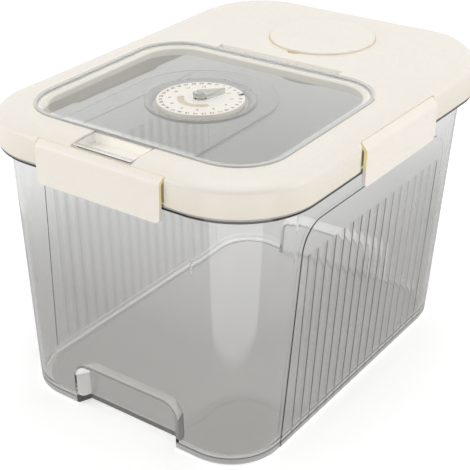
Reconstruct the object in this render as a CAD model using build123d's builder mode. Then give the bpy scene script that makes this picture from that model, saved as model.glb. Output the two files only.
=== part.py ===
from build123d import *
import math
import os

# Rice storage bin in millimetres: +Z up, front towards -Y, origin at the middle of the underside.

# Bin body
foot_width = 209.0
foot_depth = 300.0
foot_corner = 40.0
foot_round = 2.0
draft = 2.79
wall = 2.6
floor = 3.0
inside_round = 7.0
flange_bottom = 195.0
flange_thickness = 3.6
flange_inset = 1.0
flange_chamfer = 0.7
lip_height = 7.4

# Fluted side panels
panel_margin = 43.0
panel_lean = 6.0
panel_top_margin = 20.0
panel_corner = 20.0
panel_rise = 0.8
flute_count = 16
flute_margin = 7.4
flute_depth = 0.15
flute_line_depth = 0.45
flute_top_margin = 23.0

# Grip recesses at the foot of the front and rear walls
grip_width = 92.0
grip_height = 36.0
grip_corner = 12.0
grip_depth = 11.0
grip_draft = 4.5

# Lid
lid_overhang_side = 10.0
lid_overhang_end = 8.0
lid_corner_growth = 9.5
lid_wall = 2.6
lid_seat_gap = 0.15
skirt_height = 16.25
deck_rise = 8.6
deck_tilt = 1.2
shoulder_side = 15.0
shoulder_front = 14.5
shoulder_rear = 4.0
shoulder_turns = (0.0, 30.0, 60.0, 90.0)
plug_gap = 1.2
plug_wall = 2.0
plug_hang = 1.6

# Lid seal
lid_seal_height = 2.6
seal_gap = 0.1

# Window and its opening, in the plane of the deck
window_side_margin = 24.0
window_front_margin = 27.0
window_rear_margin = 133.0
window_corner = 36.0
plate = 2.2
rim_width = 2.4
rim_height = 1.0
window_gap = 0.5
window_back_gap = 1.6
ledge_width = 4.0
window_seal_width = 2.4
window_seal_height = 0.8
collar_depth = 10.5
collar_wall = 2.0
tongue_width = 108.0
tongue_height = 1.2

# Window tab and the finger pocket under it
tab_width = 49.0
tab_setback = 2.5
tab_thickness = 1.8
tab_drop = 0.95
tab_lip = 2.7
tab_gap = 0.5
pocket_setback = 7.5

# Window hinge
hinge_back = 3.4
hinge_drop = 2.6
barrel_radius = 2.4
barrel_length = 104.0
barrel_end_gap = 2.0
trough_reach = 8.7
trough_depth = 5.8
pin_radius = 1.2
pin_fit = 0.05
pin_bury = 4.0

# Dial
dial_setback = 82.5
dial_radius = 30.8
dial_thickness = 3.0
well_radius = 38.4
well_floor_radius = 33.4
well_depth = 2.4
well_floor = 1.8
cup_wall = 0.8
stem_radius = 3.0
stem_fit = 0.06
crescent_radius = 14.0
crescent_width = 5.0
crescent_start = 205.0
crescent_sweep = 115.0
crescent_depth = 1.2
pointer_radius = 5.4
pointer_reach = 18.0
pointer_tip = 0.7
pointer_height = 4.2
pointer_angle = 60.0
pointer_round = 0.8
retainer_radius = 5.6
retainer_height = 1.3
turning_gap = 0.2

# Cap, moisture cup and cap seal
cap_setback = 62.0
cap_radius = 41.4
cap_thickness = 3.2
cap_round = 0.8
cap_gap = 0.6
dish_radius = 53.0
dish_depth = 1.6
cup_hole_gap = 0.4
cup_radius = 38.6
cup_draft = 1.2
cup_skin = 1.6
cup_depth = 26.0
cup_flange_gap = 1.0
cup_flange = 1.2
cap_plug_gap = 1.4
cap_plug_wall = 2.0
cap_plug_height = 6.4
cap_seal_height = 2.0
cap_seal_groove = 0.6
cup_slot_count = 12
cup_slot_length = 18.0
cup_slot_width = 3.0
cup_slot_radius = 20.0
finger_notch_radius = 5.5
finger_notch_depth = 3.4

# Latches on thin hinges at the shoulder, measured outwards from the skirt
latch_length = 102.0
latch_hang = 8.0
latch_proud = 3.2
latch_plate = 2.4
latch_corner = 4.0
latch_bend = 4.0
hinge_inset = 1.5
steepest_latch = 1.2
hinge_seam = 0.25
hinge_groove = 0.5
notch_end_gap = 1.2
notch_wall = 2.0
bead_clear = 0.15
bead_drop = 0.7
bead_height = 2.6
bead_ramp = 2.4
bead_length = 88.0

# Heights and sizes that follow from the ones above
slant = math.tan(math.radians(draft))
mouth_width = foot_width + 2 * flange_bottom * slant
mouth_depth = foot_depth + 2 * flange_bottom * slant
mouth_corner = foot_corner + flange_bottom * slant
lid_width = mouth_width + 2 * lid_overhang_side
lid_depth = mouth_depth + 2 * lid_overhang_end
lid_corner = mouth_corner + lid_corner_growth
flange_top = flange_bottom + flange_thickness
lip_top = flange_top + lip_height
skirt_bottom = flange_top + lid_seat_gap
crease_z = skirt_bottom + skirt_height
deck_z = crease_z + deck_rise
plug_bottom = flange_top - plug_hang
lid_seal_bottom = lip_top + seal_gap
lid_seal_top = lid_seal_bottom + lid_seal_height
pocket_floor_z = lid_seal_top + lid_wall
panel_bottom_width = foot_depth - 2 * panel_margin
panel_top_width = panel_bottom_width - 2 * panel_lean
panel_height = flange_bottom - panel_top_margin
flute_pitch = (panel_top_width - 2 * flute_margin) / flute_count
flute_radius = (flute_pitch**2 / 4 + flute_depth**2) / (2 * flute_depth)
flute_line_side = flute_line_depth * math.sqrt(2)
flute_top = panel_height - flute_top_margin
deck_width = lid_width - 2 * shoulder_side
deck_depth = lid_depth - shoulder_front - shoulder_rear
deck_middle = (shoulder_front - shoulder_rear) / 2
window_width = lid_width - 2 * window_side_margin
window_depth = lid_depth - window_front_margin - window_rear_margin
window_front = window_front_margin - lid_depth / 2
window_back = window_front + window_depth
window_centre = (window_front + window_back) / 2
ledge_drop = plate + window_seal_height + 2 * seal_gap
tab_reach = window_front_margin - tab_setback
pocket_reach = window_front_margin - pocket_setback
hinge_v = window_back + hinge_back
trough_length = barrel_length + 2 * barrel_end_gap
dial_centre = window_front + dial_setback
cap_centre = lid_depth / 2 - cap_setback
latch_bottom = flange_bottom - latch_hang
plate_inner = latch_proud - latch_plate
bead_top = flange_bottom - bead_drop
bead_tip = bead_clear - flange_inset
tall = 2 * deck_rise + skirt_height

# Planes
deck = Plane(
    origin=(0, 0, deck_z),
    x_dir=(1, 0, 0),
    z_dir=(0, -math.sin(math.radians(deck_tilt)), math.cos(math.radians(deck_tilt))),
)
deck_side = Plane(origin=deck.origin, x_dir=deck.y_dir, z_dir=(1, 0, 0))


def wall_plane(turn, reach):
    """Plane on an outer wall of the bin, turned about Z from the +X side, with its Y up the wall."""
    around = math.radians(turn)
    tip = math.radians(draft)
    outwards = Vector(math.cos(around), math.sin(around), 0)
    along = Vector(-math.sin(around), math.cos(around), 0)
    facing = outwards * math.cos(tip) - Vector(0, 0, math.sin(tip))
    return Plane(origin=outwards * reach, x_dir=along, z_dir=facing)


def skirt_plane(turn, reach):
    """Upright plane across a side of the lid: X outwards from the skirt, Y up, normal along the side."""
    around = math.radians(turn)
    outwards = Vector(math.cos(around), math.sin(around), 0)
    along = Vector(math.sin(around), -math.cos(around), 0)
    return Plane(origin=outwards * reach, x_dir=outwards, z_dir=along)


def wall_outline(height, inset):
    """Width, depth and corner radius of the tapered wall at a height, drawn in by an inset."""
    growth = height * slant - inset
    return foot_width + 2 * growth, foot_depth + 2 * growth, foot_corner + growth


def lid_outline(inset):
    """Width, depth and corner radius of the lid, drawn in by an inset."""
    return lid_width - 2 * inset, lid_depth - 2 * inset, lid_corner - inset


def window_outline(inset):
    """Width, depth and corner radius of the window, drawn in by an inset."""
    return window_width - 2 * inset, window_depth - 2 * inset, window_corner - inset


def shoulder_section(turn, skin):
    """Plane, middle and outline of a cut through the shoulder, from crease at 0 to deck at 90 degrees."""
    rise = math.sin(math.radians(turn))
    run = 1 - math.cos(math.radians(turn))
    tilt = math.radians(deck_tilt * rise)
    level = crease_z + (deck_rise - skin) * rise
    plane = Plane(origin=(0, 0, level), x_dir=(1, 0, 0), z_dir=(0, -math.sin(tilt), math.cos(tilt)))
    inset = skin * (1 - run)
    width = lid_width - 2 * (shoulder_side * run + inset)
    depth = lid_depth - (shoulder_front + shoulder_rear) * run - 2 * inset
    return plane, deck_middle * run, (width, depth, lid_corner - shoulder_side * run - inset)


def hinge_lines(inset, along):
    """Hinge point of a latch on a shoulder, the slope of its top, the way out along it and the way into it."""
    rise = deck_rise + along * math.sin(math.radians(deck_tilt))
    turn = math.acos(1 - hinge_inset / inset)
    slope = min(rise * math.cos(turn) / (inset * math.sin(turn)), steepest_latch)
    point = Vector(-hinge_inset, crease_z + rise * math.sin(turn))
    return point, slope, Vector(1, -slope).normalized(), Vector(-slope, -1).normalized()


side_turns = {"left": 180.0, "right": 0.0}
end_turns = {"front": -90.0, "rear": 90.0}
latch_sides = {
    "front": (-90.0, lid_depth / 2, hinge_lines(shoulder_front, deck_middle - deck_depth / 2)),
    "rear": (90.0, lid_depth / 2, hinge_lines(shoulder_rear, deck_middle + deck_depth / 2)),
    "left": (180.0, lid_width / 2, hinge_lines(shoulder_side, 0)),
    "right": (0.0, lid_width / 2, hinge_lines(shoulder_side, 0)),
}

os.makedirs("parts", exist_ok=True)

# Bin body: solid outer form
with BuildPart() as bin_outer:
    with BuildSketch(Plane.XY):
        RectangleRounded(*wall_outline(0, 0))
    extrude(amount=flange_bottom, taper=-draft)
    fillet(bin_outer.edges().group_by(Axis.Z)[0], foot_round)

# Bin body: the room inside
with BuildPart() as bin_inside:
    with BuildSketch(Plane.XY.offset(floor)):
        RectangleRounded(*wall_outline(floor, wall))
    extrude(amount=flange_bottom - floor, taper=-draft)
    fillet(bin_inside.edges().group_by(Axis.Z)[0], inside_round)
    with BuildSketch(Plane.XY.offset(flange_bottom)):
        RectangleRounded(*wall_outline(flange_bottom, wall))
    extrude(amount=flange_thickness + lip_height)

# Bin body: skin around the grip recesses, kept within the outer form
with BuildPart() as grip_skins:
    for turn in end_turns.values():
        grip_face = wall_plane(turn, foot_depth / 2)
        with BuildSketch(grip_face):
            RectangleRounded(grip_width + 2 * wall, 2 * (grip_height + wall), grip_corner + wall)
        with BuildSketch(grip_face.offset(-grip_depth - wall)):
            RectangleRounded(
                grip_width + 2 * (wall - grip_draft),
                2 * (grip_height + wall - grip_draft),
                grip_corner + wall - grip_draft / 2,
            )
        loft(ruled=True)
    add(bin_outer.part, mode=Mode.INTERSECT)

with BuildPart() as bin_body:
    add(bin_outer.part)
    with BuildSketch(Plane.XY.offset(flange_bottom)):
        RectangleRounded(*lid_outline(flange_inset))
    rim = extrude(amount=flange_thickness)
    chamfer(rim.edges().filter_by(Plane.XY), flange_chamfer)
    with BuildSketch(Plane.XY.offset(flange_bottom)):
        RectangleRounded(*wall_outline(flange_bottom, 0))
    extrude(amount=flange_thickness + lip_height)
    add(bin_inside.part, mode=Mode.SUBTRACT)
    add(grip_skins.part)
    for turn in end_turns.values():
        grip_face = wall_plane(turn, foot_depth / 2)
        with BuildSketch(grip_face):
            RectangleRounded(grip_width, 2 * grip_height, grip_corner)
        with BuildSketch(grip_face.offset(-grip_depth)):
            RectangleRounded(
                grip_width - 2 * grip_draft,
                2 * (grip_height - grip_draft),
                grip_corner - grip_draft / 2,
            )
        loft(ruled=True, mode=Mode.SUBTRACT)
    for turn in side_turns.values():
        panel = wall_plane(turn, foot_width / 2)
        with BuildSketch(panel) as panel_sketch:
            with BuildLine():
                Polyline(
                    (-panel_bottom_width / 2, foot_round),
                    (-panel_top_width / 2, panel_height),
                    (panel_top_width / 2, panel_height),
                    (panel_bottom_width / 2, foot_round),
                    close=True,
                )
            make_face()
            fillet(panel_sketch.vertices().group_by(Axis.Y)[-1], panel_corner)
        extrude(amount=panel_rise)
        flute_start = panel.from_local_coords((0, 0, panel_rise))
        with BuildSketch(Plane(origin=flute_start, x_dir=panel.x_dir, z_dir=panel.y_dir)):
            with Locations((0, flute_depth - flute_radius)):
                with GridLocations(flute_pitch, 0, flute_count, 1):
                    Circle(flute_radius)
            with GridLocations(flute_pitch, 0, flute_count + 1, 1):
                Rectangle(flute_line_side, flute_line_side, rotation=45)
        extrude(amount=flute_top, mode=Mode.SUBTRACT)
bin_body.part.label = "bin_body"
export_step(bin_body.part, "parts/bin_body.step")

# Lid: solid outer form, with a level skirt, a round shoulder and a deck that rises to the rear
with BuildPart() as lid_outer:
    with BuildSketch(Plane.XY.offset(skirt_bottom)):
        RectangleRounded(*lid_outline(0))
    extrude(amount=skirt_height)
    for turn in shoulder_turns:
        section_plane, section_middle, section_outline = shoulder_section(turn, 0)
        with BuildSketch(section_plane):
            with Locations((0, section_middle)):
                RectangleRounded(*section_outline)
    loft()

# Lid: hollow underside
with BuildPart() as lid_hollow:
    with BuildSketch(Plane.XY.offset(skirt_bottom)):
        RectangleRounded(*lid_outline(lid_wall))
    extrude(amount=skirt_height)
    for turn in shoulder_turns:
        section_plane, section_middle, section_outline = shoulder_section(turn, lid_wall)
        with BuildSketch(section_plane):
            with Locations((0, section_middle)):
                RectangleRounded(*section_outline)
    loft()

# Lid: walls and blocks moulded under the deck, kept within the outer form
with BuildPart() as lid_inner:
    with BuildSketch(Plane.XY.offset(plug_bottom)):
        RectangleRounded(*wall_outline(flange_bottom, wall + plug_gap))
        RectangleRounded(*wall_outline(flange_bottom, wall + plug_gap + plug_wall), mode=Mode.SUBTRACT)
    extrude(amount=tall)
    with BuildSketch(Plane.XY.offset(lid_seal_top)):
        RectangleRounded(*wall_outline(flange_bottom, 0))
        RectangleRounded(*wall_outline(flange_bottom, wall + plug_gap + plug_wall), mode=Mode.SUBTRACT)
    extrude(amount=lid_wall)
    with BuildSketch(deck):
        with Locations((0, window_centre + (window_back_gap - window_gap) / 2)):
            RectangleRounded(
                window_width + 2 * (window_gap + lid_wall),
                window_depth + window_gap + window_back_gap + 2 * lid_wall,
                window_corner + window_gap + lid_wall,
            )
    extrude(amount=-ledge_drop - lid_wall)
    with BuildSketch(deck):
        with Locations((0, window_centre)):
            RectangleRounded(*window_outline(ledge_width - collar_wall))
    extrude(amount=-collar_depth)
    with BuildSketch(deck_side):
        with Locations((hinge_v, 0)):
            Rectangle(2 * trough_reach, 2 * (trough_depth + lid_wall))
    extrude(amount=trough_length / 2 + pin_bury + lid_wall, both=True)
    with BuildSketch(Plane.XY.offset(pocket_floor_z - lid_wall)):
        with Locations((0, window_front - pocket_reach / 2)):
            Rectangle(tab_width + 2 * (tab_gap + lid_wall), pocket_reach + 2 * lid_wall)
    extrude(amount=tall)
    with BuildSketch(deck):
        with Locations((0, cap_centre)):
            Circle(cap_radius + cap_gap + lid_wall)
    extrude(amount=-cap_thickness - cup_flange - lid_wall - 2 * turning_gap)
    for turn, reach, (hinge, slope, outwards, inwards) in latch_sides.values():
        notch_back = hinge.X + inwards.X * (latch_plate + hinge_seam) - outwards.X * hinge_seam
        with BuildSketch(skirt_plane(turn, reach)):
            with Locations(((notch_back - notch_wall) / 2, skirt_bottom + tall / 2)):
                Rectangle(notch_wall - notch_back, tall)
        extrude(amount=latch_length / 2 + notch_end_gap + notch_wall, both=True)
    add(lid_outer.part, mode=Mode.INTERSECT)
    # The stretch of plug wall that hangs below the skirt
    with BuildSketch(Plane.XY.offset(plug_bottom)):
        RectangleRounded(*wall_outline(flange_bottom, wall + plug_gap))
        RectangleRounded(*wall_outline(flange_bottom, wall + plug_gap + plug_wall), mode=Mode.SUBTRACT)
    extrude(amount=lid_seal_top - plug_bottom)

with BuildPart() as lid_frame:
    add(lid_outer.part)
    add(lid_hollow.part, mode=Mode.SUBTRACT)
    add(lid_inner.part)
    # Window opening and the recess that the window lies in
    with BuildSketch(deck.offset(-ledge_drop)):
        with Locations((0, window_centre + (window_back_gap - window_gap) / 2)):
            RectangleRounded(
                window_width + 2 * window_gap,
                window_depth + window_gap + window_back_gap,
                window_corner + window_gap,
            )
    extrude(amount=tall, mode=Mode.SUBTRACT)
    with BuildSketch(deck):
        with Locations((0, window_centre)):
            RectangleRounded(*window_outline(ledge_width))
    extrude(amount=-tall, mode=Mode.SUBTRACT)
    # Hinge trough, with a sloped rear face, and the bores for its pin
    with BuildSketch(deck_side):
        with BuildLine():
            Polyline(
                (window_back - window_gap, 0),
                (hinge_v + trough_reach - lid_wall, 0),
                (hinge_v + barrel_radius + turning_gap, -trough_depth),
                (window_back - window_gap, -trough_depth),
                close=True,
            )
        make_face()
    extrude(amount=trough_length / 2, both=True, mode=Mode.SUBTRACT)
    with BuildSketch(deck_side):
        with Locations((hinge_v, -hinge_drop)):
            Circle(pin_radius + pin_fit)
    extrude(amount=trough_length / 2 + pin_bury, both=True, mode=Mode.SUBTRACT)
    # Finger pocket, and the relief in the shoulder for the tab
    with BuildSketch(Plane.XY.offset(pocket_floor_z)):
        with Locations((0, window_front - pocket_reach / 2)):
            Rectangle(tab_width + 2 * tab_gap, pocket_reach)
    extrude(amount=tall, mode=Mode.SUBTRACT)
    with BuildSketch(deck_side):
        with BuildLine():
            Polyline(
                (window_front, -tab_lip - tab_gap),
                (window_front - tab_reach, -tab_drop - tab_lip - tab_gap),
                (window_front - tab_reach, tall),
                (window_front, tall),
                close=True,
            )
        make_face()
    extrude(amount=tab_width / 2 + tab_gap, both=True, mode=Mode.SUBTRACT)
    # Dish, well and finger notch of the cap
    with BuildSketch(deck):
        with Locations((0, cap_centre)):
            Circle(dish_radius)
    with BuildSketch(deck.offset(-dish_depth)):
        with Locations((0, cap_centre)):
            Circle(cap_radius + cap_gap)
    loft(ruled=True, mode=Mode.SUBTRACT)
    with BuildSketch(deck.offset(-cap_thickness - cup_flange - 2 * turning_gap)):
        with Locations((0, cap_centre)):
            Circle(cap_radius + cap_gap)
    extrude(amount=tall, mode=Mode.SUBTRACT)
    with BuildSketch(deck):
        with Locations((0, cap_centre)):
            Circle(cup_radius + cup_hole_gap)
    extrude(amount=-tall, mode=Mode.SUBTRACT)
    with BuildSketch(deck.offset(-finger_notch_depth)):
        with Locations((0, cap_centre - cap_radius - cap_gap)):
            Circle(finger_notch_radius)
    extrude(amount=tall, mode=Mode.SUBTRACT)
    # Notches that the latches hang in, cut along the seam of each hinge
    for turn, reach, (hinge, slope, outwards, inwards) in latch_sides.values():
        seam = hinge - outwards * hinge_seam
        seam_top = seam - inwards * lid_wall
        seam_end = seam + inwards * (latch_plate + hinge_seam)
        with BuildSketch(skirt_plane(turn, reach)):
            with BuildLine():
                Polyline(
                    (seam_top.X, seam_top.Y),
                    (seam_end.X, seam_end.Y),
                    (seam_end.X, flange_bottom),
                    (latch_proud, flange_bottom),
                    (latch_proud, seam_top.Y),
                    close=True,
                )
            make_face()
            with Locations((hinge.X, hinge.Y)):
                Circle(hinge_groove)
        extrude(amount=latch_length / 2 + notch_end_gap, both=True, mode=Mode.SUBTRACT)
lid_frame.part.label = "lid_frame"
export_step(lid_frame.part, "parts/lid_frame.step")

# Lid seal: a ring between the lip of the bin and the lid
with BuildPart() as lid_seal:
    with BuildSketch(Plane.XY.offset(lid_seal_bottom)):
        RectangleRounded(*wall_outline(flange_bottom, seal_gap))
        RectangleRounded(*wall_outline(flange_bottom, wall + plug_gap - seal_gap), mode=Mode.SUBTRACT)
    extrude(amount=lid_seal_height - seal_gap)
lid_seal.part.label = "lid_seal"
export_step(lid_seal.part, "parts/lid_seal.step")

# Latches: a plate that carries on from the shoulder past a hinge groove, bends down and ends in a catch bead
for side, (turn, reach, (hinge, slope, outwards, inwards)) in latch_sides.items():
    across = skirt_plane(turn, reach)
    inner_hinge = hinge + inwards * latch_plate
    outer_bend = (latch_proud, hinge.Y - (latch_proud - hinge.X) * slope)
    inner_bend = (plate_inner, inner_hinge.Y - (plate_inner - inner_hinge.X) * slope)
    with BuildPart() as latch:
        with BuildSketch(across) as latch_section:
            with BuildLine():
                Polyline(
                    (hinge.X, hinge.Y),
                    outer_bend,
                    (latch_proud, latch_bottom),
                    (plate_inner, latch_bottom),
                    inner_bend,
                    (inner_hinge.X, inner_hinge.Y),
                    close=True,
                )
            make_face()
            fillet(latch_section.vertices().sort_by_distance(outer_bend)[0], latch_bend)
            fillet(latch_section.vertices().sort_by_distance(inner_bend)[0], latch_bend - latch_plate)
        extrude(amount=latch_length / 2, both=True)
        corners = latch.edges().filter_by(Axis((0, 0, 0), across.x_dir)).group_by(Axis.Z)[0]
        fillet(corners, latch_corner)
        with BuildSketch(across):
            with BuildLine():
                Polyline(
                    (plate_inner, bead_top - bead_height - bead_ramp),
                    (bead_tip, bead_top - bead_height / 2),
                    (bead_tip, bead_top - bead_drop / 2),
                    (plate_inner, bead_top),
                    close=True,
                )
            make_face()
        extrude(amount=bead_length / 2, both=True)
        with BuildSketch(across):
            with Locations((hinge.X, hinge.Y)):
                Circle(hinge_groove)
        extrude(amount=latch_length / 2, both=True, mode=Mode.SUBTRACT)
    latch.part.label = f"{side}_latch"
    export_step(latch.part, f"parts/{side}_latch.step")

# Window: plate with a rim, a raised tongue, the dial well, the tab and the hinge barrel
with BuildPart() as window_panel:
    with BuildSketch(deck):
        with Locations((0, window_centre)):
            RectangleRounded(*window_outline(0))
    extrude(amount=-plate)
    with BuildSketch(deck):
        with Locations((0, window_centre)):
            RectangleRounded(*window_outline(0))
            RectangleRounded(*window_outline(rim_width), mode=Mode.SUBTRACT)
    extrude(amount=rim_height)
    with BuildSketch(deck):
        with Locations((0, (window_front + dial_centre) / 2)):
            Rectangle(tongue_width, dial_centre - window_front)
        with Locations((0, dial_centre)):
            Circle(tongue_width / 2)
    extrude(amount=tongue_height)
    with BuildSketch(deck):
        with Locations((0, dial_centre)):
            Circle(well_radius + cup_wall)
    extrude(amount=-well_depth - well_floor)
    with BuildSketch(deck.offset(tongue_height)):
        with Locations((0, dial_centre)):
            Circle(well_radius)
    with BuildSketch(deck.offset(-well_depth)):
        with Locations((0, dial_centre)):
            Circle(well_floor_radius)
    loft(ruled=True, mode=Mode.SUBTRACT)
    with BuildSketch(deck):
        with Locations((0, dial_centre)):
            Circle(stem_radius + stem_fit)
    extrude(amount=-tall / 2, mode=Mode.SUBTRACT)
    with BuildSketch(deck_side) as tab_section:
        with BuildLine():
            Polyline(
                (window_front + rim_width, 0),
                (window_front - tab_reach, -tab_drop),
                (window_front - tab_reach, -tab_drop - tab_lip),
                (window_front - tab_reach + tab_thickness, -tab_drop - tab_lip),
                (window_front - tab_reach + tab_thickness, -tab_drop - tab_thickness),
                (window_front + rim_width, -tab_thickness),
                close=True,
            )
        make_face()
        tab_nose = (window_front - tab_reach, -tab_drop)
        fillet(tab_section.vertices().sort_by_distance(tab_nose)[0], tab_thickness / 2)
    extrude(amount=tab_width / 2, both=True)
    with BuildSketch(deck_side):
        with BuildLine():
            Polyline(
                (window_back - rim_width, -plate),
                (window_back - rim_width, 0),
                (hinge_v, barrel_radius - hinge_drop),
                (hinge_v, -plate),
                close=True,
            )
        make_face()
        with Locations((hinge_v, -hinge_drop)):
            Circle(barrel_radius)
    extrude(amount=barrel_length / 2, both=True)
    with BuildSketch(deck_side):
        with Locations((hinge_v, -hinge_drop)):
            Circle(pin_radius + pin_fit)
    extrude(amount=barrel_length, both=True, mode=Mode.SUBTRACT)
window_panel.part.label = "window_panel"
export_step(window_panel.part, "parts/window_panel.step")

# Window seal: a ring on the ledge of the opening
seal_inset = (ledge_width - window_seal_width) / 2
with BuildPart() as window_seal:
    with BuildSketch(deck.offset(seal_gap - ledge_drop)):
        with Locations((0, window_centre)):
            RectangleRounded(*window_outline(seal_inset))
            RectangleRounded(*window_outline(seal_inset + window_seal_width), mode=Mode.SUBTRACT)
    extrude(amount=window_seal_height)
window_seal.part.label = "window_seal"
export_step(window_seal.part, "parts/window_seal.step")

# Hinge pin of the window: a steel rod through the barrel into both ends of the trough
with BuildPart() as window_hinge_pin:
    with BuildSketch(deck_side):
        with Locations((hinge_v, -hinge_drop)):
            Circle(pin_radius)
    extrude(amount=trough_length / 2 + pin_bury - pin_fit, both=True)
window_hinge_pin.part.label = "window_hinge_pin"
export_step(window_hinge_pin.part, "parts/window_hinge_pin.step")

# Date disc, with a crescent finger recess to turn it by
dial_bottom = turning_gap - well_depth
dial_top = dial_bottom + dial_thickness
crescent = CenterArc((0, dial_centre), crescent_radius, crescent_start, crescent_sweep)
with BuildPart() as dial_disc:
    with BuildSketch(deck.offset(dial_bottom)):
        with Locations((0, dial_centre)):
            Circle(dial_radius)
            Circle(stem_radius + stem_fit, mode=Mode.SUBTRACT)
    extrude(amount=dial_thickness)
    with BuildSketch(deck.offset(dial_top)):
        SlotArc(crescent, crescent_width)
    extrude(amount=-crescent_depth, mode=Mode.SUBTRACT)
dial_disc.part.label = "dial_disc"
export_step(dial_disc.part, "parts/dial_disc.step")

# Pointer: a teardrop on a stem that goes through the disc and the well
pointer_turn = math.radians(pointer_angle)
tip_x = pointer_reach * math.cos(pointer_turn)
tip_y = dial_centre + pointer_reach * math.sin(pointer_turn)
pointer_bottom = dial_top + turning_gap
stem_end = -well_depth - well_floor - 2 * turning_gap - retainer_height
with BuildPart() as dial_pointer:
    with BuildSketch(deck.offset(pointer_bottom)):
        with Locations((0, dial_centre)):
            Circle(pointer_radius)
        with Locations((tip_x, tip_y)):
            Circle(pointer_tip)
        make_hull()
    extrude(amount=pointer_height)
    fillet(dial_pointer.edges().group_by(Axis.Z)[-1], pointer_round / 2)
    with BuildSketch(deck.offset(stem_end)):
        with Locations((0, dial_centre)):
            Circle(stem_radius)
    extrude(amount=pointer_bottom - stem_end)
dial_pointer.part.label = "dial_pointer"
export_step(dial_pointer.part, "parts/dial_pointer.step")

# Retainer: a snap ring on the stem, under the well
with BuildPart() as dial_retainer:
    with BuildSketch(deck.offset(stem_end)):
        with Locations((0, dial_centre)):
            Circle(retainer_radius)
            Circle(stem_radius + stem_fit / 3, mode=Mode.SUBTRACT)
    extrude(amount=retainer_height)
dial_retainer.part.label = "dial_retainer"
export_step(dial_retainer.part, "parts/dial_retainer.step")

# Cap: a disc with a plug ring that is grooved for its seal
plug_radius = cup_radius - cup_skin - cap_plug_gap
seal_middle = -cap_thickness - cap_plug_height / 2
with BuildPart() as cap:
    with BuildSketch(deck.offset(-cap_thickness)):
        with Locations((0, cap_centre)):
            Circle(cap_radius)
    extrude(amount=cap_thickness)
    fillet(cap.edges().group_by(Axis.Z)[-1], cap_round)
    with BuildSketch(deck.offset(-cap_thickness)):
        with Locations((0, cap_centre)):
            Circle(plug_radius)
            Circle(plug_radius - cap_plug_wall, mode=Mode.SUBTRACT)
    extrude(amount=-cap_plug_height)
    with BuildSketch(deck.offset(seal_middle - cap_seal_height / 2 - seal_gap)):
        with Locations((0, cap_centre)):
            Circle(plug_radius + cap_gap)
            Circle(plug_radius - cap_seal_groove, mode=Mode.SUBTRACT)
    extrude(amount=cap_seal_height + 2 * seal_gap, mode=Mode.SUBTRACT)
cap.part.label = "cap"
export_step(cap.part, "parts/cap.step")

# Cap seal: a ring in the groove of the plug
with BuildPart() as cap_seal:
    with BuildSketch(deck.offset(seal_middle - cap_seal_height / 2)):
        with Locations((0, cap_centre)):
            Circle(plug_radius + cap_plug_gap - turning_gap)
            Circle(plug_radius - cap_seal_groove + seal_gap, mode=Mode.SUBTRACT)
    extrude(amount=cap_seal_height)
cap_seal.part.label = "cap_seal"
export_step(cap_seal.part, "parts/cap_seal.step")

# Moisture cup: a slotted cup that hangs in the cap well by its flange
cup_top = -cap_thickness - turning_gap
with BuildPart() as moisture_cup:
    with BuildSketch(deck.offset(cup_top - cup_flange)):
        with Locations((0, cap_centre)):
            Circle(cap_radius + cap_gap - cup_flange_gap)
    extrude(amount=cup_flange)
    with BuildSketch(deck.offset(cup_top)):
        with Locations((0, cap_centre)):
            Circle(cup_radius)
    with BuildSketch(deck.offset(cup_top - cup_depth)):
        with Locations((0, cap_centre)):
            Circle(cup_radius - cup_draft)
    loft(ruled=True)
    with BuildSketch(deck.offset(cup_top)):
        with Locations((0, cap_centre)):
            Circle(cup_radius - cup_skin)
    with BuildSketch(deck.offset(cup_top - cap_plug_height)):
        with Locations((0, cap_centre)):
            Circle(cup_radius - cup_skin)
    loft(ruled=True, mode=Mode.SUBTRACT)
    with BuildSketch(deck.offset(cup_top - cap_plug_height)):
        with Locations((0, cap_centre)):
            Circle(cup_radius - cup_skin)
    with BuildSketch(deck.offset(cup_top - cup_depth + cup_skin)):
        with Locations((0, cap_centre)):
            Circle(cup_radius - cup_skin - cup_draft)
    loft(ruled=True, mode=Mode.SUBTRACT)
    with BuildSketch(deck.offset(cup_top - cup_depth)):
        with Locations((0, cap_centre)):
            with PolarLocations(cup_slot_radius, cup_slot_count):
                SlotOverall(cup_slot_length, cup_slot_width)
    extrude(amount=cup_skin, mode=Mode.SUBTRACT)
moisture_cup.part.label = "moisture_cup"
export_step(moisture_cup.part, "parts/moisture_cup.step")
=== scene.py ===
import math

import bmesh
import bpy
from mathutils import Matrix, Vector


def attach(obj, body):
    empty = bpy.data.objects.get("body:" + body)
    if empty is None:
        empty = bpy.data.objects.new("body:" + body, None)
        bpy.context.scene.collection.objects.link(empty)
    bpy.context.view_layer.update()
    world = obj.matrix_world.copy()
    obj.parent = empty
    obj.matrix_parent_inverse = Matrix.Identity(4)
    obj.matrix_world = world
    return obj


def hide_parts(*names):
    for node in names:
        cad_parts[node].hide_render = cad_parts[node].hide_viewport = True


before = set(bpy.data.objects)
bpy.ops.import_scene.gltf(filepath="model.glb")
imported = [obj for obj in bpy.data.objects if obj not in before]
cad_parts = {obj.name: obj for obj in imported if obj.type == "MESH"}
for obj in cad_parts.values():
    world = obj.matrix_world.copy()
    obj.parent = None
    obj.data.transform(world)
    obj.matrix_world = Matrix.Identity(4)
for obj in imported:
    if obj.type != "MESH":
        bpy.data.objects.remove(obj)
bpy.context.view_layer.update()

# Bin body: one tapered injection moulding in smoky see-through plastic, with a rim flange,
# two fluted side panels and a grip recess at the foot of each end.
# Its wall is a few millimetres thick and polished, so edges and flutes draw dark and light lines, and more
# of them are painted on below as light and shade.
pattern_low = 0.3
pattern_high = 0.7
grey_smoke = (0.5, 0.495, 0.48)
plastic_ior = 1.5
lamp_pass = (0.97, 0.97, 0.97)
flow_scale = 18.0
flow_fade = 0.985
haze_scale = 60.0
fine_ripple = 0.00002
ripple_strength = 0.5


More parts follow.
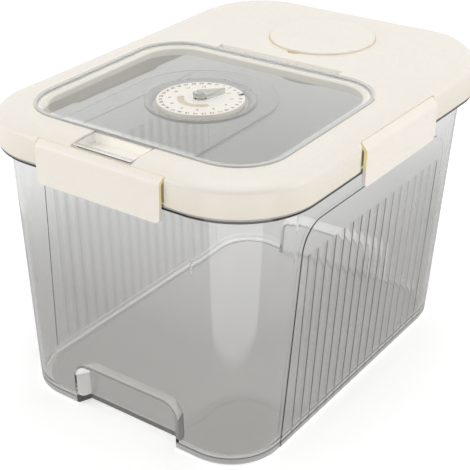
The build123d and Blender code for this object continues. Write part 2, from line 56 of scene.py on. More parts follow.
def dressed_copy(node, name, body, slot, *materials):
    """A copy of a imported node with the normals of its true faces, dressed in one or more materials."""
    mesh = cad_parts[node].data.copy()
    mesh.name = name
    mesh.materials.clear()
    for material in materials:
        mesh.materials.append(material)
    piece = bpy.data.objects.new(name, mesh)
    bpy.context.scene.collection.objects.link(piece)
    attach(piece, body)
    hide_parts(node)
    return piece


def new_material(name):
    """A material with its node tree and its Principled shader."""
    material = bpy.data.materials.new(name)
    material.use_nodes = True
    tree = material.node_tree
    return material, tree, tree.nodes["Principled BSDF"]


def feed(tree, socket, value):
    """Gives a socket a plain value, or links it to the output of another node."""
    if isinstance(value, bpy.types.NodeSocket):
        tree.links.new(value, socket)
    else:
        socket.default_value = value


def maths(tree, operation, *values):
    """One step of arithmetic on numbers or on the outputs of other nodes."""
    node = tree.nodes.new("ShaderNodeMath")
    node.operation = operation
    for socket, value in zip(node.inputs, values):
        feed(tree, socket, value)
    return node.outputs["Value"]


def combined(tree, operation, first, *others):
    """Several values joined by one operation."""
    for other in others:
        first = maths(tree, operation, first, other)
    return first


def ranged(tree, value, low, high, low_level=0.0, high_level=1.0):
    """A number that runs from one level to another while a value runs from low to high."""
    node = tree.nodes.new("ShaderNodeMapRange")
    feed(tree, node.inputs["Value"], value)
    feed(tree, node.inputs["From Min"], low)
    feed(tree, node.inputs["From Max"], high)
    feed(tree, node.inputs["To Min"], low_level)
    feed(tree, node.inputs["To Max"], high_level)
    return node.outputs["Result"]


def object_place(tree):
    """A point's place on the object's own coordinates."""
    return tree.nodes.new("ShaderNodeTexCoord").outputs["Object"]


def axes_of(tree, vector):
    """The X, Y and Z of a vector, by name."""
    split = tree.nodes.new("ShaderNodeSeparateXYZ")
    tree.links.new(vector, split.inputs["Vector"])
    return split.outputs


def along_axis(tree, axis, low, high, low_level=0.0, high_level=1.0):
    """A number that runs from one level to another along an axis of the object."""
    return ranged(tree, axes_of(tree, object_place(tree))[axis], low, high, low_level, high_level)


def object_noise(tree, scale, detail):
    """A noise pattern on the object's own coordinates."""
    noise = tree.nodes.new("ShaderNodeTexNoise")
    noise.inputs["Scale"].default_value = scale
    noise.inputs["Detail"].default_value = detail
    tree.links.new(object_place(tree), noise.inputs["Vector"])
    return noise.outputs["Fac"]


def spread(tree, pattern, low, high):
    """A pattern's value spread between two limits."""
    return ranged(tree, pattern, pattern_low, pattern_high, low, high)


def colour_ramp(tree, value, stops):
    """A colour that changes with a value, through stops of a place and a tint."""
    ramp = tree.nodes.new("ShaderNodeValToRGB")
    elements = ramp.color_ramp.elements
    for place, tint in stops:
        elements.new(place).color = (*tint, 1)
    elements.remove(elements[0])
    elements.remove(elements[-1])
    tree.links.new(value, ramp.inputs["Fac"])
    return ramp.outputs["Color"]


def tint_between(tree, pattern, first, second):
    """A colour that wanders between two tints with a pattern."""
    return colour_ramp(tree, pattern, ((pattern_low, first), (pattern_high, second)))


def tint_by(tree, share, tint):
    """Mixes a tint into the colour of a material's skin by a share."""
    skin = tree.nodes["Principled BSDF"]
    mix = tree.nodes.new("ShaderNodeMix")
    mix.data_type = "RGBA"
    own_colour, added_colour = (socket for socket in mix.inputs if socket.type == "RGBA")
    mixed_colour = next(socket for socket in mix.outputs if socket.type == "RGBA")
    added_colour.default_value = (*tint, 1)
    tree.links.new(share, mix.inputs["Factor"])
    tree.links.new(skin.inputs["Base Color"].links[0].from_socket, own_colour)
    tree.links.new(mixed_colour, skin.inputs["Base Color"])


def bump_from(tree, pattern, distance, strength):
    """A bump of a given depth from a pattern."""
    bump = tree.nodes.new("ShaderNodeBump")
    bump.inputs["Strength"].default_value = strength
    bump.inputs["Distance"].default_value = distance
    tree.links.new(pattern, bump.inputs["Height"])
    return bump.outputs["Normal"]


def surface_of(tree, share, first, second):
    """Shows the first shader on a material's surface, and the second in its place by a share."""
    mix = tree.nodes.new("ShaderNodeMixShader")
    tree.links.new(share, mix.inputs["Fac"])
    tree.links.new(first, mix.inputs[1])
    tree.links.new(second, mix.inputs[2])
    tree.links.new(mix.outputs["Shader"], tree.nodes["Material Output"].inputs["Surface"])


def clear_plastic(name, loss, rough, tint=None, smoke=grey_smoke, ripple=fine_ripple, milk=0.0):
    """See-through moulded plastic: smoke in its depth, and a polished skin with a slight ripple.

    Lamps shine through it. Where no tint is given, a colour is linked to the skin afterwards.
    """
    material, tree, skin = new_material(name)
    flow = object_noise(tree, flow_scale, detail=2.0)
    if tint:
        faded = tuple(flow_fade * part for part in tint)
        tree.links.new(tint_between(tree, flow, tint, faded), skin.inputs["Base Color"])
    haze = object_noise(tree, haze_scale, detail=3.0)
    tree.links.new(spread(tree, haze, *rough), skin.inputs["Roughness"])
    tree.links.new(bump_from(tree, flow, ripple, ripple_strength), skin.inputs["Normal"])
    skin.inputs["Transmission Weight"].default_value = 1.0 - milk
    skin.inputs["IOR"].default_value = plastic_ior
    through = tree.nodes.new("ShaderNodeBsdfTransparent")
    through.inputs["Color"].default_value = (*lamp_pass, 1)
    path = tree.nodes.new("ShaderNodeLightPath")
    surface_of(tree, path.outputs["Is Shadow Ray"], skin.outputs["BSDF"], through.outputs["BSDF"])
    depth = tree.nodes.new("ShaderNodeVolumeAbsorption")
    depth.inputs["Color"].default_value = (*smoke, 1)
    depth.inputs["Density"].default_value = loss
    tree.links.new(depth.outputs["Volume"], tree.nodes["Material Output"].inputs["Volume"])
    return material


# The walls' smoky colour is painted lighter towards the rim and darker towards the foot, as painted light
# and shade, and the foot turns milky along its edge, less so in the grips.
rim_height = 0.2
smoke_and_painted_light_stops = (
    (0.1, (0.675, 0.668, 0.655)),
    (0.5, (0.718, 0.718, 0.708)),
    (0.7, (0.85, 0.85, 0.845)),
    (0.9, (0.99, 0.995, 0.995)),
)
foot_band = 0.006
foot_soft = 0.0012
foot_pass = 0.35
foot_lean = 0.5
grip_half = 0.06
recess_back = 0.1465
recess_clear = 0.6
smoky = clear_plastic("smoky_bin_plastic", loss=45.0, rough=(0.01, 0.03), ripple=0.00003)
smoky_tree = smoky.node_tree
smoky_skin = smoky_tree.nodes["Principled BSDF"]
smoky_place = axes_of(smoky_tree, object_place(smoky_tree))
smoky_facing = axes_of(smoky_tree, smoky_tree.nodes.new("ShaderNodeNewGeometry").outputs["True Normal"])
smoky_height = ranged(smoky_tree, smoky_place["Z"], 0.0, rim_height)
# The ramp paints the smoky tint lighter with height: painted light above, painted shade below.
smoky_tree.links.new(colour_ramp(smoky_tree, smoky_height, smoke_and_painted_light_stops), smoky_skin.inputs["Base Color"])
foot_low = ranged(smoky_tree, smoky_place["Z"], foot_band - foot_soft, foot_band + foot_soft, 1.0, 0.0)
foot_upright = maths(smoky_tree, "COMPARE", smoky_facing["Z"], 0.0, foot_lean)
recess_wide = maths(smoky_tree, "COMPARE", smoky_place["X"], 0.0, grip_half)
recess_deep = maths(smoky_tree, "COMPARE", smoky_place["Y"], 0.0, recess_back)
in_recess = maths(smoky_tree, "MULTIPLY", recess_wide, recess_deep)
foot_outer = maths(smoky_tree, "MULTIPLY_ADD", in_recess, -recess_clear, 1.0)
foot_share = combined(smoky_tree, "MULTIPLY", foot_outer, foot_low, foot_upright)
foot_clear = ranged(smoky_tree, foot_share, 0.0, 1.0, 1.0, foot_pass)
smoky_tree.links.new(foot_clear, smoky_skin.inputs["Transmission Weight"])

# Each flute of the side walls is a soft band of painted shade.
flute_pitch = 0.0117
flute_half = 0.0936
flute_top = 0.152
flute_facing = 0.9
flute_shade = (0.55, 0.55, 0.54)
flute_share = 0.5
flute_turn = maths(smoky_tree, "MULTIPLY", smoky_place["Y"], math.tau / flute_pitch)
flute_wave = maths(smoky_tree, "COSINE", flute_turn)
flute_shade_wave = maths(smoky_tree, "MULTIPLY_ADD", flute_wave, flute_share / 2, flute_share / 2)
flute_wide = maths(smoky_tree, "COMPARE", smoky_place["Y"], 0.0, flute_half)
flute_tall = maths(smoky_tree, "LESS_THAN", smoky_place["Z"], flute_top)
flute_aside = maths(smoky_tree, "ABSOLUTE", smoky_facing["X"])
flute_side = maths(smoky_tree, "GREATER_THAN", flute_aside, flute_facing)
flute_band = combined(smoky_tree, "MULTIPLY", flute_side, flute_wide, flute_tall, flute_shade_wave)
tint_by(smoky_tree, flute_band, flute_shade)

# Edges are painted with light or shade: the grips are painted pale with a faint painted glow, and the
# panels' edges and the line under the rim are painted dark, with a painted pale band above that line.
edge_rough = (0.02, 0.05)
grip_painted_light = (0.93, 0.93, 0.92)
grip_loss = 20.0
grip_painted_glow = 0.16
grip_light = (1.0, 1.0, 0.98)
rim_bottom = 0.1951
rim_top = 0.1985
rim_line = 0.0019
rim_soft = 0.0002
rim_painted_light = (0.7, 0.7, 0.69)
rim_light_veil = 0.6
# The sloped faces at the foot and in the grips are milky, pale and glow faintly: painted light.
glowing_grip_edge = clear_plastic("pale_edge_plastic", grip_loss, rough=(0.04, 0.1), tint=grip_painted_light, milk=0.5)
pale_skin = glowing_grip_edge.node_tree.nodes["Principled BSDF"]
pale_skin.inputs["Emission Color"].default_value = (*grip_light, 1)
pale_skin.inputs["Emission Strength"].default_value = grip_painted_glow
# The side walls of the grips are a paler, clearer copy of the smoke: painted light.
lit_grip_side = clear_plastic("grip_side_plastic", grip_loss, edge_rough, tint=grip_painted_light, milk=0.1)
# The edges of the side panels are painted dark: painted shade.
panel_edge_shade = clear_plastic("panel_edge_plastic", loss=45.0, rough=edge_rough, tint=(0.3, 0.3, 0.3))
# The line under the rim is painted dark below and pale above: painted shade with a painted band of light.
rim_shade_edge = clear_plastic("rim_edge_plastic", loss=120.0, rough=edge_rough, tint=(0.14, 0.14, 0.14))
rim_tree = rim_shade_edge.node_tree
rim_change = rim_bottom + rim_line
rim_light_share = along_axis(rim_tree, "Z", rim_change - rim_soft, rim_change + rim_soft)
tint_by(rim_tree, rim_light_share, rim_painted_light)
rim_clear = maths(rim_tree, "MULTIPLY_ADD", rim_light_share, -rim_light_veil, 1.0)
rim_tree.links.new(rim_clear, rim_tree.nodes["Principled BSDF"].inputs["Transmission Weight"])

grip_top = 0.045
grip_slope = (0.12, 0.97)
panel_half = 0.1085
panel_bottom = 0.0025
panel_top = 0.177
panel_reach = 0.103
half_turned = 0.5
nearly_flat = 0.9
bin_skins = [smoky, glowing_grip_edge, rim_shade_edge, panel_edge_shade, lit_grip_side]
bin_body = dressed_copy("bin_body", "bin_shell", "bin", "smoky_clear", *bin_skins)
for face in bin_body.data.polygons:
    aside = abs(face.normal.x)
    rise = abs(face.normal.z)
    low_down = face.center.z < grip_top
    in_grip = abs(face.center.x) < grip_half and aside > half_turned
    in_panel = abs(face.center.y) < panel_half and panel_bottom < face.center.z < panel_top
    if low_down and grip_slope[0] < rise < grip_slope[1]:
        face.material_index = bin_skins.index(glowing_grip_edge)
    elif low_down and in_grip:
        face.material_index = bin_skins.index(lit_grip_side)
    elif in_panel and abs(face.center.x) > panel_reach and aside < half_turned:
        face.material_index = bin_skins.index(panel_edge_shade)
    elif rim_bottom < face.center.z < rim_top and rise < nearly_flat:
        face.material_index = bin_skins.index(rim_shade_edge)

# Lid seal: a soft ring of milky silicone, moulded in one piece.
# It is held under the lid and presses on the lip of the bin.
silicone_pale = (0.8, 0.79, 0.76)
silicone_deep = (0.76, 0.75, 0.72)
silicone_rough = (0.45, 0.6)
silicone, silicone_tree, silicone_skin = new_material("milky_silicone")
dust = object_noise(silicone_tree, scale=400.0, detail=4.0)
dust_tint = tint_between(silicone_tree, dust, silicone_pale, silicone_deep)
silicone_tree.links.new(dust_tint, silicone_skin.inputs["Base Color"])
silicone_tree.links.new(spread(silicone_tree, dust, *silicone_rough), silicone_skin.inputs["Roughness"])
silicone_skin.inputs["Subsurface Weight"].default_value = 0.2
silicone_skin.inputs["Subsurface Radius"].default_value = (0.002, 0.002, 0.0018)
dressed_copy("lid_seal", "lid_gasket", "lid", "silicone", silicone)

# Lid frame: a hollow cream moulding with a rounded shoulder, a satin deck that rises to the rear,
# the window opening with its collar, the hinge trough, the tab pocket and the dished well of the cap.
# It sits on the rim of the bin, and its recesses are painted warmer with a faint painted glow, for light
# that comes through the thin plastic.
cream_pale = (0.86, 0.815, 0.745)
cream_deep = (0.845, 0.795, 0.715)
satin = (0.24, 0.32)
half_matt = (0.3, 0.4)
matt = (0.35, 0.45)
edge_radius = 0.0005
drift_scale = 9.0
grain_scale = 2600.0
grain_depth = 0.00003
grain_strength = 0.12
recess_reach = 0.004
recess_shut = 0.1
recess_open = 0.6
pale_painted_recess = (0.9, 0.84, 0.7)
pale_recess_glow = 0.3
gold_painted_recess = (0.82, 0.72, 0.5)
gold_recess_glow = 0.15


def cream_plastic(name, pale, deep, rough, recess_painted_light=pale_painted_recess, recess_glow=pale_recess_glow):
    """Cream moulded plastic: softened edges, a fine spark texture and a faint drift of colour.

    Narrow recesses are painted with a warmer shade and a faint painted glow.
    """
    material, tree, skin = new_material(name)
    drift = object_noise(tree, drift_scale, detail=3.0)
    tree.links.new(tint_between(tree, drift, pale, deep), skin.inputs["Base Color"])
    recess = tree.nodes.new("ShaderNodeAmbientOcclusion")
    recess.samples = 8
    recess.inputs["Distance"].default_value = recess_reach
    # Painted shade and glow in recesses, found by ambient occlusion.
    painted_recess_share = ranged(tree, recess.outputs["AO"], recess_shut, recess_open, 1.0, 0.0)
    tint_by(tree, painted_recess_share, recess_painted_light)
    tree.links.new(maths(tree, "MULTIPLY", painted_recess_share, recess_glow), skin.inputs["Emission Strength"])
    skin.inputs["Emission Color"].default_value = (*recess_painted_light, 1)
    grain = object_noise(tree, grain_scale, detail=2.0)
    tree.links.new(spread(tree, grain, *rough), skin.inputs["Roughness"])
    edge = tree.nodes.new("ShaderNodeBevel")
    edge.samples = 6
    edge.inputs["Radius"].default_value = edge_radius
    grain_bump = bump_from(tree, grain, grain_depth, grain_strength)
    tree.links.new(edge.outputs["Normal"], grain_bump.node.inputs["Normal"])
    tree.links.new(grain_bump, skin.inputs["Normal"])
    skin.inputs["Subsurface Weight"].default_value = 0.12
    skin.inputs["Subsurface Radius"].default_value = (0.003, 0.0024, 0.0016)
    return material


def light_evenly(material, tint, level):
    """Gives a cream skin the same faint painted glow all over, standing in for the light that the window
    throws on it.
    """
    skin = material.node_tree.nodes["Principled BSDF"]
    material.node_tree.links.remove(skin.inputs["Emission Strength"].links[0])
    skin.inputs["Emission Color"].default_value = (*tint, 1)
    skin.inputs["Emission Strength"].default_value = level


skirt_low = 0.2
skirt_high = 0.2165
skirt_shade_share = 0.4
skirt_painted_shade = (0.78, 0.7, 0.54)
collar_light = (1.0, 0.95, 0.86)
collar_glow = 0.22
pocket_light = (1.0, 0.97, 0.93)
pocket_glow = 0.03
finger_shade_pale = (0.78, 0.65, 0.28)
finger_shade_deep = (0.76, 0.63, 0.27)
finger_painted_light = (0.84, 0.7, 0.3)
finger_glow = 0.3
cream = cream_plastic("cream_lid_plastic", cream_pale, cream_deep, satin)
# The foot of the skirt is painted warmer and darker: painted shade under the shoulder.
skirt_shade_fade = along_axis(cream.node_tree, "Z", skirt_low, skirt_high, skirt_shade_share, 0.0)
tint_by(cream.node_tree, skirt_shade_fade, skirt_painted_shade)
# The collar and the tab pocket are lit copies of the cream, paler and with a faint painted glow all over.
lit_collar_cream = cream_plastic(
    "lit_collar_plastic", pale=(0.88, 0.84, 0.76), deep=(0.87, 0.82, 0.74), rough=half_matt
)
light_evenly(lit_collar_cream, collar_light, collar_glow)
lit_pocket_cream = cream_plastic(
    "lit_pocket_plastic", pale=(0.86, 0.83, 0.78), deep=(0.85, 0.82, 0.77), rough=half_matt
)
light_evenly(lit_pocket_cream, pocket_light, pocket_glow)
# The finger notch by the cap is painted yellow-brown with a painted glow: warm painted shade.
finger_shade_cream = cream_plastic(
    "finger_notch_shade_plastic", finger_shade_pale, finger_shade_deep, half_matt, finger_painted_light, finger_glow
)
# The cap's cream is painted a deeper gold shade in its seam, with a fainter painted glow.
cap_cream = cream_plastic("cream_cap_plastic", cream_pale, cream_deep, satin, gold_painted_recess, gold_recess_glow)

deck_tilt = math.radians(1.2)
deck_height = 0.2236
deck_plane = Matrix.Translation((0, 0, deck_height)) @ Matrix.Rotation(deck_tilt, 4, "X")
to_deck = deck_plane.inverted()


def on_deck(face):
    """A face's centre in the frame of the tilted deck, and how far the face looks up from it."""
    return to_deck @ face.center, (to_deck.to_3x3() @ face.normal).z


cap_setback = 0.1055
cap_reach = 0.045
finger_setback = 0.0635
finger_reach = 0.0065
finger_floor = -0.0045
finger_lip = -0.0015
pocket_half = 0.0252
pocket_front = -0.1625
pocket_lip = -0.0012
collar_side = 0.1015
collar_front = -0.1425
collar_back = 0.0365
collar_top = -0.0022
collar_bottom = -0.0145
lid_skins = [cream, lit_collar_cream, finger_shade_cream, cap_cream, lit_pocket_cream]
lid_frame = dressed_copy("lid_frame", "lid_shell", "lid", "cream", *lid_skins)
for face in lid_frame.data.polygons:
    place, facing = on_deck(face)
    from_finger = math.hypot(place.x, place.y - finger_setback)
    in_opening = abs(place.x) < collar_side and collar_front < place.y < collar_back
    if math.hypot(place.x, place.y - cap_setback) < cap_reach:
        face.material_index = lid_skins.index(cap_cream)
    if from_finger < finger_reach and finger_floor < place.z < finger_lip:
        face.material_index = lid_skins.index(finger_shade_cream)
    if abs(place.x) < pocket_half and pocket_front < place.y < collar_front and place.z < pocket_lip:
        face.material_index = lid_skins.index(lit_pocket_cream)
    if in_opening and collar_bottom < place.z < collar_top and abs(facing) < half_turned:
        face.material_index = lid_skins.index(lit_collar_cream)

# Latches: four cream snap plates, each hung from the shoulder of the lid by a thin moulded hinge.
# Their ends and the end walls of their notches in the skirt are painted a warm yellow that glows, for light
# that comes through the thin plastic.
slit_low = 0.199
slit_soft = 0.001
slit_painted_light = (0.76, 0.65, 0.31)
slit_painted_glow = 0.14
notch_painted_glow = 0.75
notch_walls = (0.12071, 0.16421)
notch_facing = 0.9
notch_match = 0.0001
notch_half = 0.0525
latch_end_facing = 0.95
latch_cream = cream_plastic(
    "cream_latch_plastic", pale=(0.9, 0.85, 0.775), deep=(0.885, 0.83, 0.75), rough=satin
)
# The upper part of each latch end is painted warm yellow and glows faintly: painted light in the slit
# beside the skirt.
glowing_slit_cream = cream_plastic("latch_end_glow_plastic", cream_pale, cream_deep, half_matt)
slit_tree = glowing_slit_cream.node_tree
slit_skin = slit_tree.nodes["Principled BSDF"]
painted_slit_share = along_axis(slit_tree, "Z", slit_low, slit_low + slit_soft)
slit_light = maths(slit_tree, "MULTIPLY", painted_slit_share, slit_painted_glow)
tint_by(slit_tree, painted_slit_share, slit_painted_light)
slit_tree.links.new(slit_light, slit_skin.inputs["Emission Strength"])
slit_skin.inputs["Emission Color"].default_value = (*slit_painted_light, 1)
# The end walls of the notches in the skirt glow warm yellow: painted light.
glowing_notch_cream = cream_plastic("latch_notch_glow_plastic", cream_pale, cream_deep, half_matt, slit_painted_light, notch_painted_glow)
lid_skins.append(glowing_notch_cream)
lid_frame.data.materials.append(glowing_notch_cream)
for face in lid_frame.data.polygons:
    for axis, wall in enumerate(notch_walls):
        outwards = face.normal[axis] * face.center[axis] > notch_facing * wall
        on_wall = abs(abs(face.center[axis]) - wall) < notch_match
        if outwards and on_wall and abs(face.center[1 - axis]) < notch_half:
            face.material_index = lid_skins.index(glowing_notch_cream)
latch_skins = [latch_cream, glowing_slit_cream]
for side in ("front", "rear", "left", "right"):
    latch = dressed_copy(f"{side}_latch", f"{side}_snap_latch", f"{side}_latch_body", "cream", *latch_skins)
    for face in latch.data.polygons:
        endwise = face.normal.x if side in ("front", "rear") else face.normal.y
        if abs(endwise) > latch_end_facing:
            face.material_index = latch_skins.index(glowing_slit_cream)

# Moisture cup: a slotted cup for a moisture absorber, moulded in white plastic.
# It hangs by its flange in the well under the cap.
cup_white = cream_plastic("white_cup_plastic", pale=(0.86, 0.85, 0.82), deep=(0.84, 0.83, 0.8), rough=matt)
dressed_copy("moisture_cup", "absorber_cup", "lid", "cup_white", cup_white)

# Cap and its ring: a round cap, moulded in the lid's cream plastic with a hollow plug under it.
# A silicone ring round the plug seals it in the moisture cup.
dressed_copy("cap", "round_cap", "cap_body", "cream", cap_cream)
dressed_copy("cap_seal", "cap_ring", "cap_body", "silicone", silicone)

# Hinge pin: a straight rod of drawn steel.
# It runs through the barrel of the window and into both ends of the trough in the lid.
pin_steel, pin_tree, pin_skin = new_material("drawn_steel")
pin_lines = object_noise(pin_tree, scale=900.0, detail=2.0)
pin_tint = tint_between(pin_tree, pin_lines, first=(0.6, 0.6, 0.61), second=(0.52, 0.52, 0.53))
pin_tree.links.new(pin_tint, pin_skin.inputs["Base Color"])
pin_tree.links.new(spread(pin_tree, pin_lines, low=0.25, high=0.4), pin_skin.inputs["Roughness"])
pin_skin.inputs["Metallic"].default_value = 1.0
dressed_copy("window_hinge_pin", "hinge_rod", "lid", "steel", pin_steel)

# Window seal: a flat ring of the same milky silicone.
# It lies on the ledge of the opening, under the edge of the window.
dressed_copy("window_seal", "window_gasket", "lid", "silicone", silicone)

# Window: a smoky see-through flap, moulded in one with its rim, raised tongue, dial well and lifting tab.
# Its barrel turns on the hinge pin. The tab is clear, and the slope of the well and the edges are frosted.


def vector_maths(tree, operation, *values):
    """One step of arithmetic on vectors. A length or a dot product comes out as a plain number."""
    node = tree.nodes.new("ShaderNodeVectorMath")
    node.operation = operation
    for socket, value in zip(node.inputs, values):
        feed(tree, socket, value)
    return node.outputs["Value" if operation in ("LENGTH", "DOT_PRODUCT") else "Vector"]


clear_smoke = (0.5, 0.5, 0.49)
frost_smoke = (0.5, 0.495, 0.475)
frost_loss = 10.0
frost_rough = (0.1, 0.2)
well_rough = (0.25, 0.35)
window_clear = clear_plastic(
    "smoky_window_plastic", loss=30.0, rough=(0.01, 0.025), tint=(0.585, 0.585, 0.57)
)
tab_clear = clear_plastic(
    "clear_tab_plastic", loss=8.0, rough=(0.02, 0.04), tint=(0.97, 0.97, 0.965), smoke=clear_smoke
)
well_frost = clear_plastic(
    "frosted_well_plastic", frost_loss, well_rough, tint=(0.62, 0.62, 0.61), smoke=frost_smoke, milk=0.75
)
edge_frost = clear_plastic(
    "bright_edge_plastic", frost_loss, frost_rough, tint=(0.86, 0.86, 0.85), smoke=frost_smoke, milk=0.6
)
tab_edge = clear_plastic(
    "tab_edge_plastic", frost_loss, frost_rough, tint=(0.88, 0.88, 0.87), smoke=frost_smoke, milk=0.6
)

# A fine line of painted shade runs along each side of the tab and along its front bar.
tab_half = 0.0245
tab_bar = -0.1608
tab_line = 0.0004
tab_line_shade = (0.5, 0.5, 0.49)
tab_tree = tab_clear.node_tree
tab_place = axes_of(tab_tree, object_place(tab_tree))
tab_aside = maths(tab_tree, "ABSOLUTE", tab_place["X"])
tab_sides = maths(tab_tree, "COMPARE", tab_aside, tab_half - tab_line, tab_line)
tab_front = maths(tab_tree, "COMPARE", tab_place["Y"], tab_bar, tab_line)
tint_by(tab_tree, maths(tab_tree, "MAXIMUM", tab_sides, tab_front), tab_line_shade)

# The middle pane is a rectangle with round corners, and the smoke stops at its edge.
pane_half = (0.0915, 0.079)
pane_middle = (0.0035, -0.0565, 0)
pane_corner = 0.03
pane_flat = (pane_half[0] - pane_corner, pane_half[1] - pane_corner, 1)
margin_soft = 0.0008
margin_tint = (0.96, 0.96, 0.95)
pane_tree = window_clear.node_tree
from_middle = vector_maths(pane_tree, "SUBTRACT", object_place(pane_tree), pane_middle)
past_flat = vector_maths(pane_tree, "SUBTRACT", vector_maths(pane_tree, "ABSOLUTE", from_middle), pane_flat)
from_corner = vector_maths(pane_tree, "LENGTH", vector_maths(pane_tree, "MAXIMUM", past_flat, (0, 0, 0)))
margin_share = ranged(pane_tree, from_corner, pane_corner - margin_soft, pane_corner + margin_soft)
tint_by(pane_tree, margin_share, margin_tint)

window_front = -0.1405
dial_setback = -0.058
well_inner = 0.0332
well_outer = 0.0386
well_slope = (0.3, 0.97)
frame_top = 0.001
frame_match = 0.00005
window_skins = [window_clear, tab_clear, well_frost, edge_frost, tab_edge]
window_panel = dressed_copy("window_panel", "flip_window", "window", "window_clear", *window_skins)
for face in window_panel.data.polygons:
    place, facing = on_deck(face)
    rise = abs(facing)
    from_dial = math.hypot(place.x, place.y - dial_setback)
    on_edge = rise < well_slope[0] or abs(place.z - frame_top) < frame_match
    if well_inner < from_dial < well_outer and well_slope[0] < rise < well_slope[1]:
        face.material_index = window_skins.index(well_frost)
    elif place.y < window_front - frame_match:
        face.material_index = window_skins.index(tab_edge if rise < half_turned else tab_clear)
    elif from_dial > well_outer and on_edge:
        face.material_index = window_skins.index(edge_frost)

# Date disc: a matt cream disc, printed in dark ink with the days and the months.
# It lies in the well of the window and turns there, with a crescent recess for a finger.
dial_top = 0.0008
crescent_floor = -0.0004
crescent_match = 0.0003
crescent_reach = 0.025
crescent_facing = 0.3
dial_cream = cream_plastic(
    "cream_dial_plastic", pale=(0.88, 0.84, 0.77), deep=(0.865, 0.82, 0.75), rough=matt
)
# The floor of the finger crescent is painted a darker tan: painted shade.
crescent_shade_cream = cream_plastic(
    "shaded_dial_plastic", pale=(0.72, 0.64, 0.52), deep=(0.7, 0.62, 0.5), rough=matt
)
dial_skins = [dial_cream, crescent_shade_cream]
dial_disc = dressed_copy("dial_disc", "date_disc", "dial", "dial_cream", *dial_skins)
for face in dial_disc.data.polygons:
    place, facing = on_deck(face)
    from_dial = math.hypot(place.x, place.y - dial_setback)
    on_floor = abs(place.z - crescent_floor) < crescent_match
    if from_dial < crescent_reach and on_floor and facing > crescent_facing:
        face.material_index = dial_skins.index(crescent_shade_cream)

print_lift = 0.00003
day_count = 31
day_radius = 0.0277
day_size = 0.0034
month_count = 12
month_radius = 0.0213
month_size = 0.0032
stroke_gain = 0.00006
index_turn = math.radians(-42.0)
index_radius = 0.0283
index_size = 0.004
index_points = ((-0.5, 0.6, 0), (0.5, 0.6, 0), (0, -0.6, 0))
ink, ink_tree, ink_skin = new_material("dial_ink")
ink_wear = object_noise(ink_tree, scale=900.0, detail=2.0)
ink_tint = tint_between(ink_tree, ink_wear, first=(0.02, 0.019, 0.018), second=(0.035, 0.033, 0.03))
ink_tree.links.new(ink_tint, ink_skin.inputs["Base Color"])
ink_skin.inputs["Roughness"].default_value = 0.5
dial_face = deck_plane @ Matrix.Translation((0, dial_setback, dial_top + print_lift))
dial_marks = bmesh.new()


def dial_spot(turn, radius):
    """The place of a mark on the dial, its top outwards."""
    return dial_face @ Matrix.Rotation(turn, 4, "Z") @ Matrix.Translation((0, radius, 0))


def print_number(number, turn, radius, size):
    """One number on the dial, as flat faces among the dial's marks."""
    words = bpy.data.curves.new("dial_number", "FONT")
    words.body = str(number)
    words.size = size
    words.offset = stroke_gain
    words.align_x = "CENTER"
    words.align_y = "CENTER"
    holder = bpy.data.objects.new("dial_number", words)
    flat = bpy.data.meshes.new_from_object(holder)
    flat.transform(dial_spot(turn, radius))
    dial_marks.from_mesh(flat)
    bpy.data.objects.remove(holder)
    bpy.data.curves.remove(words)
    bpy.data.meshes.remove(flat)


for day in range(day_count):
    print_number(day + 1, -math.tau * day / day_count, day_radius, day_size)
for month in range(month_count):
    print_number(month + 1, -math.tau * month / month_count, month_radius, month_size)
index_spot = dial_spot(index_turn, index_radius)
dial_marks.faces.new([dial_marks.verts.new(index_spot @ (Vector(p) * index_size)) for p in index_points])
marks_mesh = bpy.data.meshes.new("dial_print")
dial_marks.to_mesh(marks_mesh)
dial_marks.free()
marks_mesh.materials.append(ink)
dial_print = bpy.data.objects.new("dial_print", marks_mesh)
bpy.context.scene.collection.objects.link(dial_print)
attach(dial_print, "dial")

# Pointer and its snap ring: a clear moulded teardrop knob that turns on the disc.
# Its stem goes through the well, and a cream ring snapped on from below holds it there.
pointer_loss = 60.0
pointer_rough = (0.01, 0.03)
pointer_tint = (0.68, 0.7, 0.69)
pointer_ripple = 0.00001
pointer_clear = clear_plastic(
    "clear_pointer_plastic", pointer_loss, pointer_rough, pointer_tint, clear_smoke, pointer_ripple
)
dressed_copy("dial_pointer", "teardrop_pointer", "pointer", "pointer_clear", pointer_clear)
dressed_copy("dial_retainer", "snap_ring", "pointer", "cream", cream)

# Studio: a pale floor that runs out to white, soft lamps and the camera of the photograph.
# Mirrors and clear plastic see the white as well, and a mirror sees the floor darker,
# with two brighter sheets on it, which give the polished bin its long highlights.
air_dim = 0.55
air_white = 1.0
world = bpy.data.worlds.new("studio_air")
bpy.context.scene.world = world
world.use_nodes = True
air = world.node_tree
air_light = air.nodes["Background"]
air_light.inputs["Color"].default_value = (1, 1, 1, 1)
air_path = air.nodes.new("ShaderNodeLightPath").outputs
air_seen = combined(
    air, "MAXIMUM", air_path["Is Camera Ray"], air_path["Is Glossy Ray"], air_path["Is Transmission Ray"]
)
air.links.new(ranged(air, air_seen, 0.0, 1.0, air_dim, air_white), air_light.inputs["Strength"])

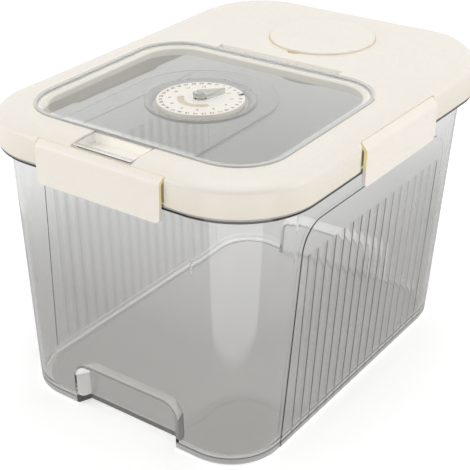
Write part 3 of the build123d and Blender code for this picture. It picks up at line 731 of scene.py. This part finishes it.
floor_reach = 3.0
floor_drop = -0.0004
floor_tint = (0.9, 0.9, 0.9)
floor_lift = 0.3
floor_glow_share = 0.85
floor_near = 0.5
floor_far = 1.1
floor_corners = [(-1, -1), (1, -1), (1, 1), (-1, 1)]
floor_points = [(floor_reach * x, floor_reach * y, floor_drop) for x, y in floor_corners]
floor_mesh = bpy.data.meshes.new("studio_floor")
floor_mesh.from_pydata(floor_points, [], [(0, 1, 2, 3)])
floor = bpy.data.objects.new("studio_floor", floor_mesh)
bpy.context.scene.collection.objects.link(floor)
floor_paint, floor_tree, floor_skin = new_material("white_floor")
floor_mesh.materials.append(floor_paint)
floor_skin.inputs["Base Color"].default_value = (*floor_tint, 1)
floor_skin.inputs["Roughness"].default_value = 0.8
floor_skin.inputs["Emission Color"].default_value = (1, 1, 1, 1)
floor_skin.inputs["Emission Strength"].default_value = floor_lift
floor_glow = floor_tree.nodes.new("ShaderNodeEmission")
floor_path = floor_tree.nodes.new("ShaderNodeLightPath").outputs
floor_place = object_place(floor_tree)
floor_open = ranged(floor_tree, vector_maths(floor_tree, "LENGTH", floor_place), floor_near, floor_far)
floor_white = maths(floor_tree, "MULTIPLY", floor_open, floor_path["Is Camera Ray"])
floor_seen = maths(floor_tree, "MAXIMUM", floor_path["Is Transmission Ray"], floor_path["Is Glossy Ray"])
floor_share = maths(floor_tree, "MULTIPLY", floor_seen, floor_glow_share)
glow_share = maths(floor_tree, "MAXIMUM", floor_share, floor_white)
surface_of(floor_tree, glow_share, floor_skin.outputs["BSDF"], floor_glow.outputs["Emission"])

# Each sheet: the way it lies from the bin, where it starts, how it flares sideways, and how bright it is.
corner_sheet = (Vector((0.59, -0.807, 0)), 0.279, 1.0, 1.0)
left_sheet = (Vector((-1, 0, 0)), 0.36, 20.0, 0.2)
sheet_soft = 0.012
sheet_root = 0.176
sheet_dim = 0.4
sheet_bright = 2.8
sheet_shares = []
for sheet_way, sheet_start, sheet_flare, sheet_part in (corner_sheet, left_sheet):
    along = vector_maths(floor_tree, "DOT_PRODUCT", floor_place, sheet_way)
    across = vector_maths(floor_tree, "DOT_PRODUCT", floor_place, sheet_way.cross((0, 0, 1)))
    begun = ranged(floor_tree, along, sheet_start - sheet_soft, sheet_start + sheet_soft, 0.0, sheet_part)
    border = maths(floor_tree, "MULTIPLY_ADD", along, sheet_flare, -sheet_flare * sheet_root)
    past_border = maths(floor_tree, "SUBTRACT", maths(floor_tree, "ABSOLUTE", across), border)
    inside = ranged(floor_tree, past_border, -sheet_soft, sheet_soft, 1.0, 0.0)
    sheet_shares.append(maths(floor_tree, "MULTIPLY", begun, inside))
sheet_share = combined(floor_tree, "MAXIMUM", *sheet_shares)
sheet_level = ranged(floor_tree, sheet_share, 0.0, 1.0, sheet_dim, sheet_bright)
mirrored = maths(floor_tree, "SUBTRACT", floor_path["Is Glossy Ray"], floor_path["Is Transmission Ray"])
mirror_level = ranged(floor_tree, mirrored, 0.0, 1.0, 1.0, sheet_level)
floor_tree.links.new(mirror_level, floor_glow.inputs["Strength"])

lamp_power = 7.5


def softbox(name, width, height, place, aim):
    """An area lamp that looks at a point."""
    lamp = bpy.data.lights.new(name, "AREA")
    lamp.shape = "RECTANGLE"
    lamp.size = width
    lamp.size_y = height
    lamp.energy = lamp_power
    holder = bpy.data.objects.new(name, lamp)
    bpy.context.scene.collection.objects.link(holder)
    holder.location = place
    holder.rotation_euler = (Vector(aim) - Vector(place)).to_track_quat("-Z", "Y").to_euler()


softbox("overhead_softbox", 1.6, 1.6, (0.0, 0.2, 1.6), (0, 0, 0.1))
softbox("left_softbox", 0.9, 1.2, (-1.1, -1.1, 1.0), (0, 0, 0.12))
softbox("right_softbox", 0.9, 1.2, (1.4, 0.7, 0.9), (0, 0, 0.12))

camera_place = (0.4381, -0.6588, 0.5060)
camera_way = Vector((-0.5224, 0.7139, -0.4664))
camera_lens = bpy.data.cameras.new("photo_camera")
camera_lens.sensor_width = 36.0
camera_lens.lens = 87.6
camera_lens.shift_x = 0.0768
camera_lens.shift_y = 0.0066
camera_lens.clip_start = 0.01
camera = bpy.data.objects.new("photo_camera", camera_lens)
bpy.context.scene.collection.objects.link(camera)
camera.location = camera_place
camera.rotation_euler = camera_way.to_track_quat("-Z", "Y").to_euler()
bpy.context.scene.camera = camera
bpy.context.scene.view_settings.view_transform = "Standard"
